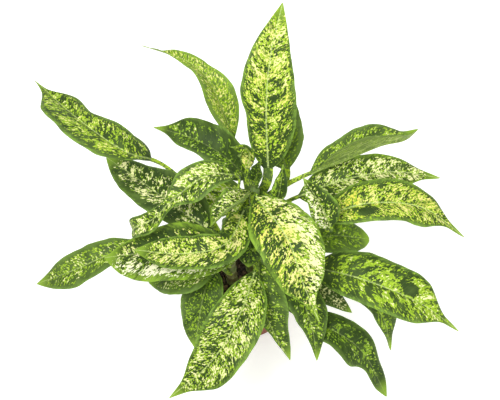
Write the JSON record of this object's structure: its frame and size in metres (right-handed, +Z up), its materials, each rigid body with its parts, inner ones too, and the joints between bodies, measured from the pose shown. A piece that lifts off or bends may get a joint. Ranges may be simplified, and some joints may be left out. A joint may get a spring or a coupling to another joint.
{
  "type": "potted dieffenbachia",
  "caption": "Bushy potted houseplant with broad pointed leaves, green speckled with cream and lime, on upright canes in a small brown tapered plastic pot of dark soil.",
  "frame": {"origin": "centre of the flat underside of the pot", "axes": "+Z up along the pot's axis, +X to the right of the side the plant is seen from, +Y to the back, where the tallest leaf leans"},
  "size_m": [0.6254, 0.4795, 0.5188],
  "materials": {
    "pot_plastic": "satin terracotta-brown plastic",
    "soil_bark": "dark moist bark and peat",
    "cane_bark": "smooth green stem with pale leaf scars",
    "leaf_blade": "soft gloss, dark green with lime and cream speckles"
  },
  "bodies": {
    "root": {"pot": "pot_plastic", "soil": "soil_bark", "cane_back": "cane_bark", "cane_left": "cane_bark", "cane_right": "cane_bark", "leaf_01": "leaf_blade", "leaf_02": "leaf_blade", "leaf_03": "leaf_blade", "leaf_04": "leaf_blade", "leaf_05": "leaf_blade", "leaf_06": "leaf_blade", "leaf_07": "leaf_blade", "leaf_08": "leaf_blade", "leaf_09": "leaf_blade", "leaf_10": "leaf_blade", "leaf_11": "leaf_blade", "leaf_12": "leaf_blade", "leaf_13": "leaf_blade", "leaf_14": "leaf_blade", "leaf_15": "leaf_blade", "leaf_16": "leaf_blade", "leaf_17": "leaf_blade", "leaf_18": "leaf_blade", "leaf_19": "leaf_blade", "leaf_20": "leaf_blade", "leaf_21": "leaf_blade", "leaf_22": "leaf_blade", "leaf_23": "leaf_blade", "leaf_24": "leaf_blade", "leaf_25": "leaf_blade", "leaf_26": "leaf_blade", "leaf_27": "leaf_blade", "leaf_28": "leaf_blade", "leaf_29": "leaf_blade", "leaf_30": "leaf_blade", "leaf_rolled": "leaf_blade"}
  },
  "joints": []
}
